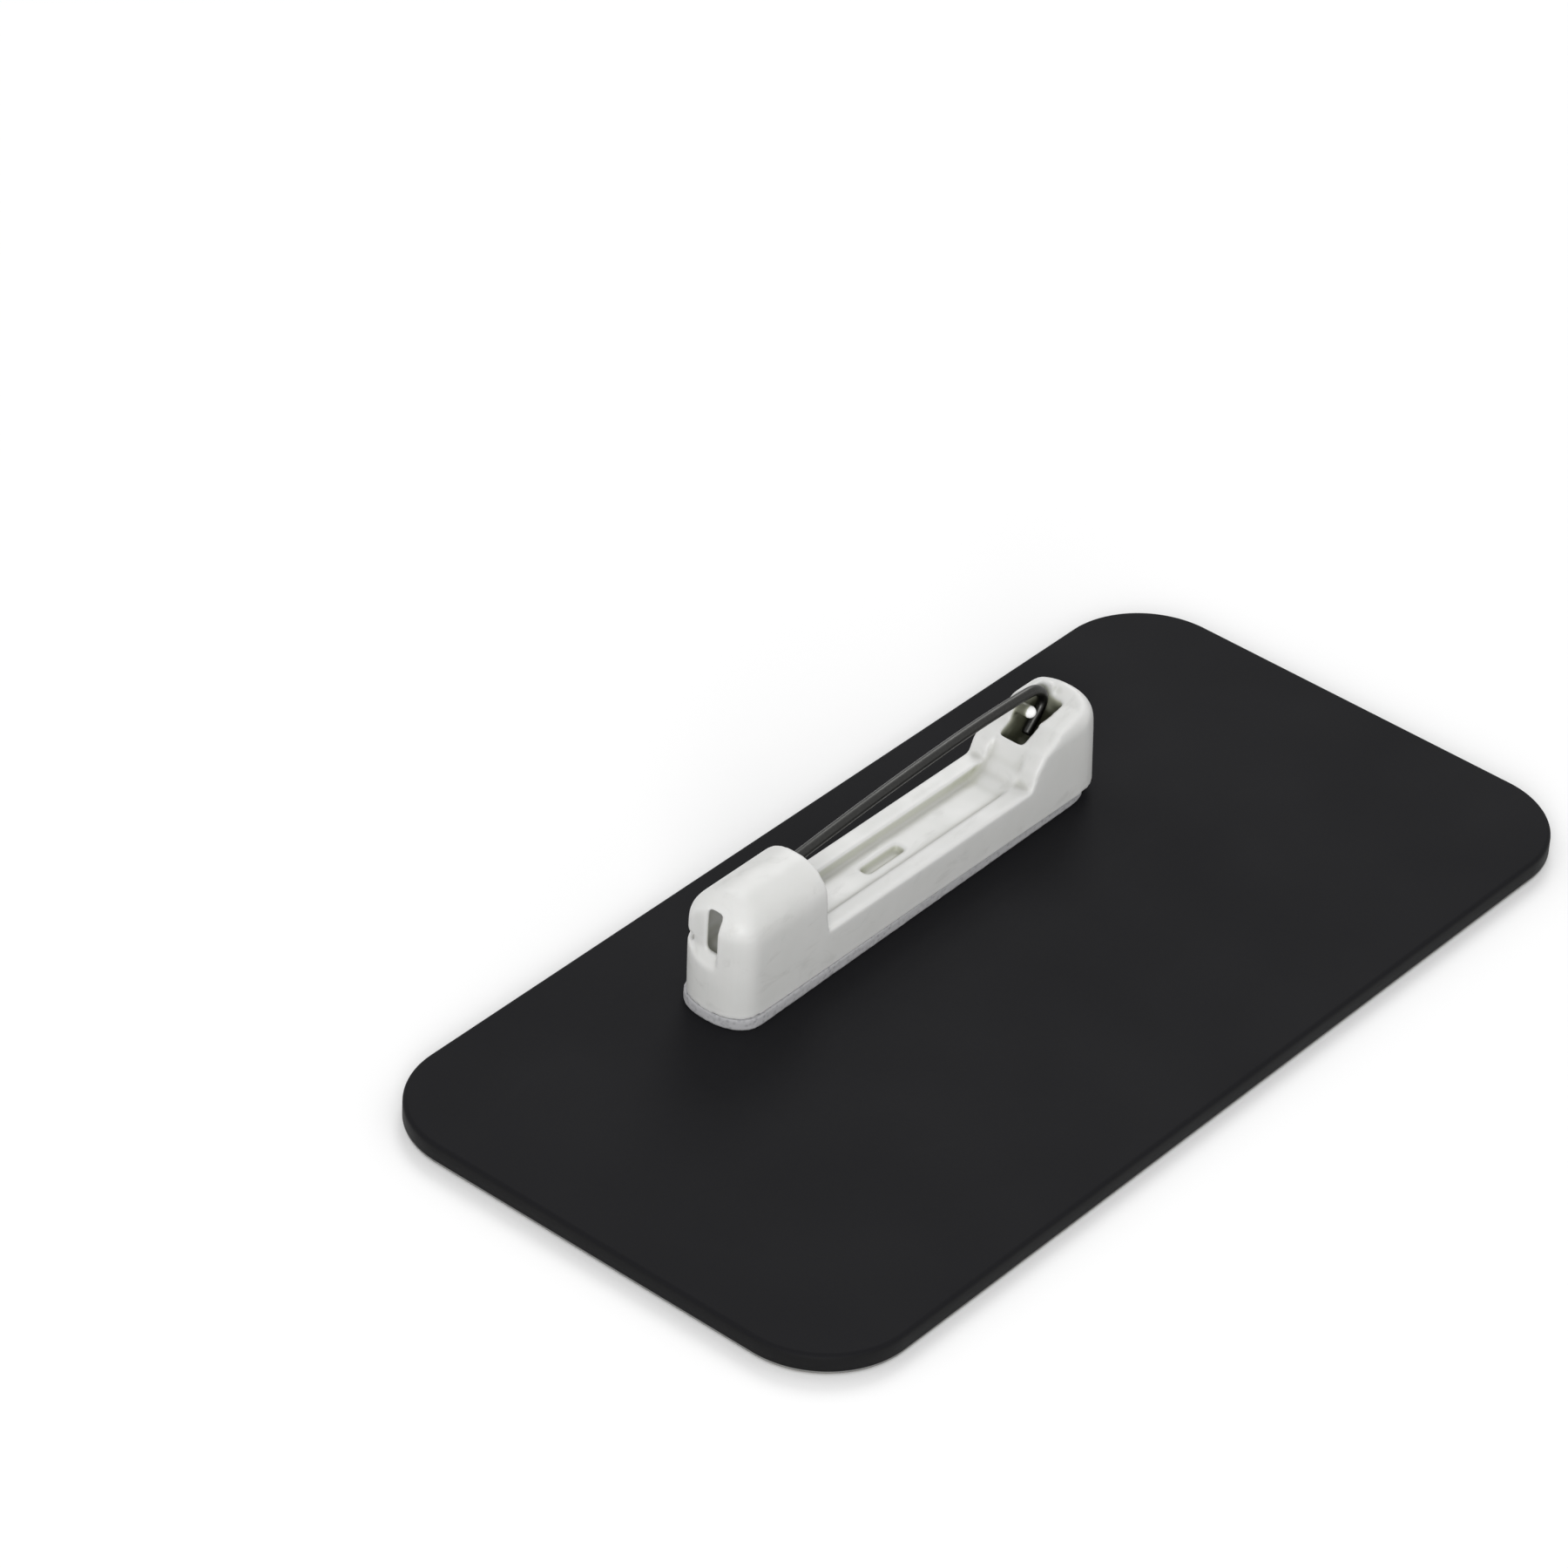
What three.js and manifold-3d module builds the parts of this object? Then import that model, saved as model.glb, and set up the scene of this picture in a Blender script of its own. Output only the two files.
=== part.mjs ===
// A pin-back name badge: a two-layer plate lying face down, with a moulded bar pin stuck to its back.
// Millimetres, +Z up. The origin is the centre of the plate's front face, which is the underside.
// X runs along the long edge, from the catch hood of the pin to its hinge head.

import * as THREE from 'three';
import * as BufferGeometryUtils from 'three/addons/utils/BufferGeometryUtils.js';
import Module from 'manifold-3d';

const wasm = await Module();
wasm.setup();

// Plate
const plateLength = 76.2;
const plateWidth = 38.1;
const plateThickness = 1.5;
const plateCornerRadius = 6.35;
const plateBackEdgeRadius = 0.2;
const capThickness = 0.3;
const capEdgeRadius = 0.06;

// Place of the bar pin on the plate's back
const pinPlaceX = 0.75;
const pinPlaceY = 8.95;

// Foam pad, measured from the outline of the body that it carries
const padThickness = 0.8;
const padProudAtSides = 0.175;
const padProudAtHood = 0.025;
const padShortAtHead = 0.6;
const padTurn = 0.7;

// Body of the bar pin: bar, rails and trough
const bodyLength = 36.75;
const bodyWidth = 5.5;
const hoodEndDepth = 2.1;
const hoodEndDepthAbove = 1.8;
const headEndDepth = 2.8;
const endFullness = 2.3;
const sideDraft = 0.015;
const hoodEndSlope = 0.01;
const headEndSlope = 0.07;
const railTop = 4.25;
const nearRailDrop = 0.5;
const troughWidth = 2.75;
const troughDepth = 0.85;
const recessLength = 3.7;
const recessWidth = 0.8;
const recessDepth = 0.5;
const recessEndRound = 0.3;
const recessFullness = 4;
const recessShift = -1.5;

// Catch hood, measured from the bar's left end
const hoodHeight = 8.8;
const hoodLength = 8.5;
const mouthLean = 0.4;
const hoodWall = 0.8;
const hoodEndWall = 0.9;
const hoodEndRound = 2.2;
const hoodFloor = 4.3;
const sideSlotHeight = 2.7;
const sideSlotEndClearance = 0.35;
const windowWidth = 1.15;
const windowTop = 8.0;
const windowShift = 0.05;
const sillTop = 4.9;
const sillFoot = 4.0;
const sillDepth = 0.55;
const nickDepth = 1.0;
const nickHeight = 0.6;
const nickReach = 1.4;

// Hinge head, measured from the bar's right end
const headHeight = 8.1;
const headEndRound = 2.5;
const crownSetback = 5.8;
const crownRound = 2.0;
const crownFootHeight = 6.4;
const farCheekSetback = 4.3;
const farCheekTop = 7.8;
const farCheekSlope = 1.25;
const rampSetback = 8.1;
const lipSetback = 6.9;
const lipHeight = 5.95;
const hingeSlotWidth = 1.9;
const hingeSlotShift = 0.2;
const hingeSlotEndWall = 2.75;
const hingeSlotFloor = 4.3;
const frontCheekDrop = 1.4;

// Pivot post and wire stem
const pivotSetback = 5.15;
const pivotHeight = 7.17;
const pivotRadius = 0.43;
const pivotReach = 1.45;
const wireDiameter = 0.74;
const stemSeat = 0.3;
const hookHeight = 1.27;
const hookReach = 1.75;
const hookTurn = 130;
const tailLength = 1.7;
const stemReachIntoHood = 4.4;
const stemRise = 0.15;
const stemDrop = 2.1;
const stemDrift = 0.55;
const tipTaper = 2.4;

const arcSteps = 14;
const wireSides = 12;

// Places that several pieces share, in the bar pin's own frame
const bodyEnd = bodyLength / 2;
const archRadius = bodyWidth / 2 - sideDraft;
const hoodArchCentre = hoodHeight - archRadius;
const headArchCentre = headHeight - archRadius;
const hoodMouth = -bodyEnd + hoodLength;
const cavityRadius = archRadius - hoodWall;
const cavityEnd = -bodyEnd + hoodEndWall;
const sideSlotEnd = hoodMouth - stemReachIntoHood - sideSlotEndClearance;
const nearRailTop = railTop - nearRailDrop;
const troughFloor = railTop - troughDepth;
const rampX = bodyEnd - rampSetback;
const lipX = bodyEnd - lipSetback;
const crownFace = bodyEnd - crownSetback;
const pivotX = bodyEnd - pivotSetback;
const slotNear = hingeSlotShift - hingeSlotWidth / 2;
const slotFar = hingeSlotShift + hingeSlotWidth / 2;
const slotEnd = bodyEnd - hingeSlotEndWall;
const stemY = slotFar - stemSeat - wireDiameter / 2;
const beyond = 1;
const clearAbove = hoodHeight + beyond;
const mouthLeanAbove = mouthLean * (clearAbove - railTop) / (hoodHeight - railTop);

// Turns a closed mesh into a solid that can be joined and cut.
function toSolid(geometry) {
  const bare = geometry.index ? geometry.toNonIndexed() : geometry.clone();
  bare.deleteAttribute('normal');
  bare.deleteAttribute('uv');
  const merged = BufferGeometryUtils.mergeVertices(bare, 1e-5);
  return new wasm.Manifold(new wasm.Mesh({
    numProp: 3,
    vertProperties: new Float32Array(merged.attributes.position.array),
    triVerts: new Uint32Array(merged.index.array),
  }));
}

// Turns a solid back into a mesh geometry.
function toGeometry(solid) {
  const mesh = solid.getMesh();
  const geometry = new THREE.BufferGeometry();
  geometry.setAttribute('position', new THREE.BufferAttribute(new Float32Array(mesh.vertProperties), 3));
  geometry.setIndex(new THREE.BufferAttribute(new Uint32Array(mesh.triVerts), 1));
  geometry.computeVertexNormals();
  return geometry;
}

// A closed skin through rings of equally many points; the first and last rings are capped.
function loft(rings) {
  const count = rings[0].length;
  const positions = rings.flatMap((ring) => ring.flatMap((point) => [point.x, point.y, point.z]));
  const indices = [];
  for (let r = 0; r < rings.length - 1; r += 1) {
    for (let i = 0; i < count; i += 1) {
      const a = r * count + i;
      const b = r * count + (i + 1) % count;
      indices.push(a, b, b + count, a, b + count, a + count);
    }
  }
  const last = (rings.length - 1) * count;
  for (let i = 1; i < count - 1; i += 1) {
    indices.push(0, i + 1, i);
    indices.push(last, last + i, last + i + 1);
  }
  const geometry = new THREE.BufferGeometry();
  geometry.setAttribute('position', new THREE.Float32BufferAttribute(positions, 3));
  geometry.setIndex(indices);
  geometry.computeVertexNormals();
  return geometry;
}

// A power of a sine or cosine that keeps its sign: above 2 it fills the corners of an ellipse.
function fuller(value, fullness) {
  return Math.sign(value) * Math.pow(Math.abs(value), 2 / fullness);
}

// A rounded rectangle, anticlockwise seen from above, at one height.
function roundedRectangleRing(length, width, radius, inset, height) {
  const points = [];
  for (let corner = 0; corner < 4; corner += 1) {
    const signX = corner === 0 || corner === 3 ? 1 : -1;
    const signY = corner < 2 ? 1 : -1;
    for (let step = 0; step <= arcSteps; step += 1) {
      const angle = (corner + step / arcSteps) * Math.PI / 2;
      points.push(new THREE.Vector3(
        signX * (length / 2 - radius) + (radius - inset) * Math.cos(angle),
        signY * (width / 2 - radius) + (radius - inset) * Math.sin(angle),
        height,
      ));
    }
  }
  return points;
}

// A bar outline with rounded ends, anticlockwise seen from above, at one height.
function barRing({ left, right, leftDepth, rightDepth, halfWidth, fullness, height }) {
  const points = [];
  for (const side of [1, -1]) {
    const depth = side > 0 ? rightDepth : leftDepth;
    const centre = side > 0 ? right - depth : left + depth;
    for (let step = 0; step <= arcSteps; step += 1) {
      const angle = step / arcSteps * Math.PI - Math.PI / 2;
      points.push(new THREE.Vector3(
        centre + side * depth * fuller(Math.cos(angle), fullness),
        side * halfWidth * fuller(Math.sin(angle), fullness),
        height,
      ));
    }
  }
  return points;
}

// A prism across the bar: an outline in X and Z between two places along Y.
function prismAcross(outline, fromY, toY) {
  const shape = new THREE.Shape(outline.map(([x, z]) => new THREE.Vector2(x, z)));
  const geometry = new THREE.ExtrudeGeometry(shape, { depth: toY - fromY, bevelEnabled: false });
  geometry.rotateX(Math.PI / 2);
  geometry.translate(0, toY, 0);
  return toSolid(geometry);
}

// A prism along the bar: an outline in Y and Z between two places along X.
function prismAlong(outline, fromX, toX) {
  const shape = new THREE.Shape(outline.map(([y, z]) => new THREE.Vector2(y, z)));
  const geometry = new THREE.ExtrudeGeometry(shape, { depth: toX - fromX, bevelEnabled: false });
  geometry.rotateX(Math.PI / 2);
  geometry.rotateZ(Math.PI / 2);
  geometry.translate(fromX, 0, 0);
  return toSolid(geometry);
}

// A box between two corners.
function boxBetween(fromX, toX, fromY, toY, fromZ, toZ) {
  const geometry = new THREE.BoxGeometry(toX - fromX, toY - fromY, toZ - fromZ);
  geometry.translate((fromX + toX) / 2, (fromY + toY) / 2, (fromZ + toZ) / 2);
  return toSolid(geometry);
}

// An arch in Y and Z: straight sides from the foot to the centre's height, and a full round on top.
function archOutline(radius, foot, centre, fullness) {
  const outline = [[-radius, foot], [radius, foot]];
  for (let step = 0; step <= arcSteps * 2; step += 1) {
    const angle = step / (arcSteps * 2) * Math.PI;
    outline.push([
      radius * fuller(Math.cos(angle), fullness),
      centre + radius * fuller(Math.sin(angle), fullness),
    ]);
  }
  return outline;
}

function makePlateCore() {
  const rings = [roundedRectangleRing(plateLength, plateWidth, plateCornerRadius, 0, capThickness)];
  const edgeSteps = 3;
  for (let step = 0; step <= edgeSteps; step += 1) {
    const angle = step / edgeSteps * Math.PI / 2;
    const inset = plateBackEdgeRadius * (1 - Math.cos(angle));
    const height = plateThickness - plateBackEdgeRadius * (1 - Math.sin(angle));
    rings.push(roundedRectangleRing(plateLength, plateWidth, plateCornerRadius, inset, height));
  }
  return loft(rings);
}

function makeFaceCap() {
  return loft([
    roundedRectangleRing(plateLength, plateWidth, plateCornerRadius, capEdgeRadius, 0),
    roundedRectangleRing(plateLength, plateWidth, plateCornerRadius, 0, capEdgeRadius),
    roundedRectangleRing(plateLength, plateWidth, plateCornerRadius, 0, capThickness),
  ]);
}

function makeAdhesivePad() {
  const outline = {
    left: -bodyEnd - padProudAtHood,
    right: bodyEnd - padShortAtHead,
    leftDepth: hoodEndDepth,
    rightDepth: headEndDepth,
    halfWidth: bodyWidth / 2 + padProudAtSides,
    fullness: endFullness,
  };
  const geometry = loft([barRing({ ...outline, height: 0 }), barRing({ ...outline, height: padThickness })]);
  geometry.translate(bodyEnd, 0, 0);
  geometry.rotateZ(padTurn * Math.PI / 180);
  geometry.translate(-bodyEnd, 0, 0);
  return geometry;
}

// How far an end of the body stands back at one height: its slope, and its round into the top.
function endSetback(height, topHeight, round, slope) {
  const above = Math.min(round, Math.max(0, height - (topHeight - round)));
  return slope * (height - padThickness) + round - Math.sqrt(round * round - above * above);
}

// The outer form of the body: plan outlines stacked upward, narrowing into the hood's arch.
function makeBodyEnvelope() {
  const rings = [];
  const addRing = (height, halfWidth) => {
    const rise = Math.min(1, (height - padThickness) / (hoodFloor - padThickness));
    const narrowing = Math.max(halfWidth / archRadius, 0.4);
    rings.push(barRing({
      left: -bodyEnd + endSetback(height, hoodHeight, hoodEndRound, hoodEndSlope),
      right: bodyEnd - endSetback(Math.min(height, headHeight), headHeight, headEndRound, headEndSlope),
      leftDepth: (hoodEndDepth + (hoodEndDepthAbove - hoodEndDepth) * rise) * narrowing,
      rightDepth: headEndDepth * narrowing,
      halfWidth,
      fullness: endFullness,
      height,
    }));
  };
  addRing(padThickness, bodyWidth / 2);
  const straightSteps = 5;
  for (let step = 1; step <= straightSteps; step += 1) {
    const share = step / straightSteps;
    addRing(padThickness + (hoodArchCentre - padThickness) * share, bodyWidth / 2 - sideDraft * share);
  }
  const archLast = 84 * Math.PI / 180;
  for (let step = 1; step <= arcSteps; step += 1) {
    const angle = archLast * step / arcSteps;
    addRing(
      hoodArchCentre + archRadius * fuller(Math.sin(angle), endFullness),
      archRadius * fuller(Math.cos(angle), endFullness),
    );
  }
  return toSolid(loft(rings));
}

// What is cut away above a rail, from the hood's mouth over the ramp to the crown of the head.
function makeTopCut(top, fromY, toY) {
  const outline = [
    [hoodMouth, top],
    [rampX, top],
    [rampX + 0.35 * (lipX - rampX), top + 0.55 * (lipHeight - top)],
    [lipX, lipHeight],
  ];
  const crownSteps = 6;
  for (let step = 0; step <= crownSteps; step += 1) {
    const angle = step / crownSteps * Math.PI / 2;
    outline.push([
      crownFace + crownRound * (1 - Math.cos(angle)),
      crownFootHeight + (headHeight - crownFootHeight) * Math.sin(angle),
    ]);
  }
  outline.push([bodyEnd + beyond, headHeight]);
  outline.push([bodyEnd + beyond, clearAbove]);
  outline.push([hoodMouth - mouthLeanAbove, clearAbove]);
  return prismAcross(outline, fromY, toY);
}

// What is cut off the head's shoulders, so that its crown is an arch of its own.
function makeShoulderCut() {
  const wallClearance = 0.05;
  const arch = archOutline(archRadius + wallClearance, railTop, headArchCentre - wallClearance, endFullness);
  return boxBetween(rampX, bodyEnd + beyond, -bodyWidth, bodyWidth, headArchCentre, clearAbove)
    .subtract(prismAlong(arch, rampX - beyond, bodyEnd + 2 * beyond));
}

// The chamfer of the far cheek, beside the post.
function makeFarCheekCut() {
  const outside = bodyWidth;
  return prismAlong([
    [slotFar, farCheekTop],
    [outside, farCheekTop - farCheekSlope * (outside - slotFar)],
    [outside, clearAbove],
    [slotFar, clearAbove],
  ], lipX, bodyEnd - farCheekSetback);
}

// The trough between the rails; its floor climbs the ramp to the lip of the hinge slot.
function makeTrough() {
  const run = lipX - rampX;
  const climb = lipHeight - troughFloor;
  return prismAcross([
    [hoodMouth, troughFloor],
    [rampX - 1.3 * run, troughFloor],
    [rampX - 0.3 * run, troughFloor + 0.14 * climb],
    [rampX + 0.4 * run, troughFloor + 0.45 * climb],
    [lipX, lipHeight],
    [lipX, clearAbove],
    [hoodMouth - mouthLeanAbove, clearAbove],
    [hoodMouth, railTop],
  ], -troughWidth / 2, troughWidth / 2);
}

// The shallow recess in the trough's floor, with nearly square ends.
function makeRecess() {
  const ring = (height) => barRing({
    left: recessShift - recessLength / 2,
    right: recessShift + recessLength / 2,
    leftDepth: recessEndRound,
    rightDepth: recessEndRound,
    halfWidth: recessWidth / 2,
    fullness: recessFullness,
    height,
  });
  return toSolid(loft([ring(troughFloor - recessDepth), ring(railTop)]));
}

// The tunnel inside the hood, open at the mouth, and on the far side as deep as the stem reaches.
function makeHoodCavity() {
  const toX = hoodMouth + beyond;
  const tunnel = prismAlong(archOutline(cavityRadius, hoodFloor, hoodArchCentre, 2), cavityEnd, toX);
  return tunnel.add(boxBetween(sideSlotEnd, toX, 0, bodyWidth, hoodFloor, hoodFloor + sideSlotHeight));
}

// The window in the hood's end wall, the sloped sill that runs on past it to the far side,
// the wall set back above the sill, and the nick where both meet the far side.
function makeHoodEndCuts() {
  const outside = -bodyEnd - beyond;
  const inside = cavityEnd + hoodWall;
  const setBack = -bodyEnd + sillDepth;
  const nearSide = windowShift - windowWidth / 2;
  const farSide = windowShift + windowWidth / 2;
  const window = boxBetween(outside, inside, nearSide, farSide, sillTop, windowTop);
  const ledge = prismAcross([
    [setBack, sillTop],
    [-bodyEnd, sillFoot],
    [outside, sillFoot],
    [outside, clearAbove],
    [setBack, clearAbove],
  ], farSide, bodyWidth);
  const sill = prismAcross([
    [setBack, sillTop],
    [-bodyEnd, sillFoot],
    [outside, sillFoot],
    [outside, windowTop],
    [setBack, windowTop],
  ], nearSide, farSide + beyond);
  const nick = boxBetween(outside, -bodyEnd + nickReach, bodyWidth / 2 - nickDepth, bodyWidth,
    sillTop, sillTop + nickHeight);
  return window.add(ledge).add(sill).add(nick);
}

// The slot for the wire's hook, and the lower front cheek beside it.
function makeHeadCuts() {
  const cheekTop = headHeight - frontCheekDrop;
  const cheekBack = slotEnd + frontCheekDrop;
  const slot = boxBetween(lipX, slotEnd, slotNear, slotFar, hingeSlotFloor, clearAbove);
  const cheek = prismAcross([
    [crownFace, crownFootHeight],
    [pivotX, cheekTop],
    [slotEnd, cheekTop + 0.3 * frontCheekDrop],
    [cheekBack, headHeight],
    [cheekBack, clearAbove],
    [crownFace, clearAbove],
  ], -bodyWidth, hingeSlotShift);
  return slot.add(cheek);
}

// The pivot post, standing out of the far cheek with a domed end.
function makePivotPost() {
  const root = slotFar;
  const dome = pivotRadius;
  const profile = [new THREE.Vector2(0, -root / 2), new THREE.Vector2(pivotRadius, -root / 2)];
  const domeSteps = 6;
  for (let step = 0; step < domeSteps; step += 1) {
    const angle = step / domeSteps * Math.PI / 2;
    profile.push(new THREE.Vector2(
      pivotRadius * Math.cos(angle),
      pivotReach - dome + dome * Math.sin(angle),
    ));
  }
  profile.push(new THREE.Vector2(0, pivotReach));
  const geometry = new THREE.LatheGeometry(profile, 20);
  geometry.rotateX(Math.PI);
  geometry.translate(pivotX, slotFar, pivotHeight);
  return toSolid(geometry);
}

function makePinBody() {
  return toGeometry(makeBodyEnvelope()
    .subtract(makeTopCut(railTop, -troughWidth / 2, bodyWidth))
    .subtract(makeTopCut(nearRailTop, -bodyWidth, -troughWidth / 2))
    .subtract(makeShoulderCut())
    .subtract(makeFarCheekCut())
    .subtract(makeTrough())
    .subtract(makeRecess())
    .subtract(makeHoodCavity())
    .subtract(makeHoodEndCuts())
    .subtract(makeHeadCuts())
    .add(makePivotPost()));
}

// The line of the wire round the post: from the tail's end, up behind the post and over its top.
function hookPath() {
  const turn = hookTurn * Math.PI / 180;
  const points = [];
  const steps = 9;
  for (let step = 0; step <= steps; step += 1) {
    const angle = Math.PI / 2 - turn * (1 - step / steps);
    points.push(new THREE.Vector3(hookReach * Math.cos(angle), 0, hookHeight * Math.sin(angle)));
  }
  const start = points[0];
  const heading = start.clone().sub(points[1]).normalize();
  return [start.clone().addScaledVector(heading, tailLength), ...points];
}

// The bowed line of the wire from the top of its hook to the point inside the hood.
function stemPath() {
  const length = pivotX - hoodMouth + stemReachIntoHood;
  const points = [];
  const steps = 12;
  for (let step = 1; step <= steps; step += 1) {
    const share = step / steps;
    const rise = stemRise * Math.sin(Math.min(1, share * 4) * Math.PI / 2);
    const drop = stemDrop * Math.pow(share, 1.7);
    points.push(new THREE.Vector3(-length * share, stemDrift * share, hookHeight + rise - drop));
  }
  return points;
}

// The stem: one round wire, hooked over the post, that narrows to a point at its free end.
function makeStem() {
  const curve = new THREE.CatmullRomCurve3([...hookPath(), ...stemPath()], false, 'centripetal');
  const length = curve.getLength();
  const steps = 90;
  const pointShare = 0.12;
  const rings = [];
  for (let step = 0; step <= steps; step += 1) {
    const share = step / steps;
    const centre = curve.getPointAt(share);
    const along = curve.getTangentAt(share);
    const across = new THREE.Vector3(0, 1, 0).cross(along).normalize();
    const up = along.clone().cross(across).normalize();
    const taper = Math.sqrt(Math.min(1, (1 - share) * length / tipTaper));
    const radius = wireDiameter / 2 * (pointShare + (1 - pointShare) * taper);
    const ring = [];
    for (let side = 0; side < wireSides; side += 1) {
      const angle = side / wireSides * Math.PI * 2;
      ring.push(centre.clone()
        .addScaledVector(across, radius * Math.cos(angle))
        .addScaledVector(up, radius * Math.sin(angle)));
    }
    rings.push(ring);
  }
  const geometry = loft(rings);
  geometry.translate(pivotX, stemY, pivotHeight);
  return geometry;
}

function makeMesh(name, geometry, color, roughness, metalness) {
  const mesh = new THREE.Mesh(geometry, new THREE.MeshStandardMaterial({ color, roughness, metalness }));
  mesh.name = name;
  return mesh;
}

const plate = new THREE.Group();
plate.add(
  makeMesh('face_cap', makeFaceCap(), 0xc8ae62, 0.35, 0.8),
  makeMesh('plate_core', makePlateCore(), 0x232325, 0.5, 0),
);

const pin = new THREE.Group();
pin.position.set(pinPlaceX, pinPlaceY, plateThickness);
pin.add(
  makeMesh('adhesive_pad', makeAdhesivePad(), 0xc9c9cb, 0.9, 0),
  makeMesh('pin_body', makePinBody(), 0xe6e6e2, 0.45, 0),
  makeMesh('pin_stem', makeStem(), 0x8a8b88, 0.25, 1),
);

const badge = new THREE.Group();
badge.add(plate, pin);

export default badge;
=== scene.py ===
"""Looks of a blank name badge that lies face down, with a bar pin on its back.

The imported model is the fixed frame. Meshes are made in millimetres, in the frame's own
axes (X along the plate towards the hinge, Z up out of its back), and put into metres last.
"""

import logging
import math
from dataclasses import dataclass, field
from enum import Enum

import bmesh
import bpy
import numpy as np
from mathutils import Matrix, Vector
from mathutils.bvhtree import BVHTree


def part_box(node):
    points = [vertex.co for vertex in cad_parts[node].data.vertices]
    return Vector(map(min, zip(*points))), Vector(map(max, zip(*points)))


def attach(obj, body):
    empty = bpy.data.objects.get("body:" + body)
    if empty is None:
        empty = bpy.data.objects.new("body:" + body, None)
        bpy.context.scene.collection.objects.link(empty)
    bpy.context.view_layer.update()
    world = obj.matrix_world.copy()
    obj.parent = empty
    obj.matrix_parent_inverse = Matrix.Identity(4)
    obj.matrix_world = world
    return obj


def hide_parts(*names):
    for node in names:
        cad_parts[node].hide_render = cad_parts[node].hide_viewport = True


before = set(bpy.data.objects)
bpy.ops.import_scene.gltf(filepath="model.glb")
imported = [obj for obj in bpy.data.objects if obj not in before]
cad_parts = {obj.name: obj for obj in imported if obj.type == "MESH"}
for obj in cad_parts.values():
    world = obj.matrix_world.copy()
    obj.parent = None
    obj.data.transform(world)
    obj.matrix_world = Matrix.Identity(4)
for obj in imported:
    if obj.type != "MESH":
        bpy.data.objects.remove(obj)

LOG = logging.getLogger("name_badge")
MM = 0.001
PER_MM = 1000.0
MERGE_MM = 1e-4
NODE_SPACING = 220
NOISE_MIDDLE = 0.5
Socket = bpy.types.NodeSocket
Colour = tuple[float, float, float]
Place = tuple[float, float, float]
EVENLY: Place = (1.0, 1.0, 1.0)


class Board:
    """A node tree, with short ways to place its nodes and join them."""

    def __init__(self, tree: bpy.types.NodeTree) -> None:
        """Takes the tree to work on.

        Args:
            tree: A material's tree or a node group.
        """
        self.tree = tree
        self.placed = 0

    def add(self, kind: str, inputs: dict | None = None, **settings: object) -> bpy.types.Node:
        """Places one node and fills its inputs.

        Args:
            kind: The node's type, such as ShaderNodeMix.
            inputs: Values or sockets by input name or number.
            **settings: The node's own options.

        Returns:
            The new node.
        """
        node = self.tree.nodes.new(kind)
        node.location = (NODE_SPACING * self.placed, 0)
        self.placed += 1
        for name, value in settings.items():
            setattr(node, name, value)
        for key, value in (inputs or {}).items():
            self.fill(node.inputs[key], value)
        return node

    def fill(self, socket: Socket, value: object) -> None:
        """Joins a socket to another, or sets its value.

        Args:
            socket: The input to fill.
            value: A socket to join it to, or a plain value.
        """
        if isinstance(value, bpy.types.NodeSocket):
            self.tree.links.new(value, socket)
        elif isinstance(value, tuple) and len(value) == 3 and socket.type == "RGBA":
            socket.default_value = (*value, 1.0)
        else:
            socket.default_value = value

    def math(self, operation: str, *values: object) -> Socket:
        """Places a Math node.

        Args:
            operation: The operation's name, such as MULTIPLY.
            *values: Its inputs in order.

        Returns:
            The result.
        """
        return self.add("ShaderNodeMath", dict(enumerate(values)), operation=operation).outputs[0]

    def blend(self, share: object, low: object, high: object) -> Socket:
        """Mixes two colours.

        Args:
            share: How much of the second colour shows, from 0 to 1.
            low: The colour at 0.
            high: The colour at 1.

        Returns:
            The mixed colour.
        """
        node = self.add("ShaderNodeMix", data_type="RGBA")
        self.fill(node.inputs["Factor"], share)
        colours = [socket for socket in node.inputs if socket.type == "RGBA"]
        self.fill(colours[0], low)
        self.fill(colours[1], high)
        return next(socket for socket in node.outputs if socket.type == "RGBA")

    def spread(self, value: Socket, low: object, high: object, to_low: object, to_high: object) -> Socket:
        """Maps a value from one range to another, held at both ends.

        Args:
            value: The value to map.
            low: Where the first range starts.
            high: Where it ends.
            to_low: What the start becomes.
            to_high: What the end becomes.

        Returns:
            The mapped value.
        """
        inputs = {"Value": value, "From Min": low, "From Max": high, "To Min": to_low, "To Max": to_high}
        return self.add("ShaderNodeMapRange", inputs, clamp=True).outputs[0]


class Effect(Enum):
    """The surface effects that the finishes share."""

    GRAIN = "fine_grain"
    CLOUD = "soft_cloud"
    CELLS = "open_cells"
    SCUFF = "faint_scuffs"


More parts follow.
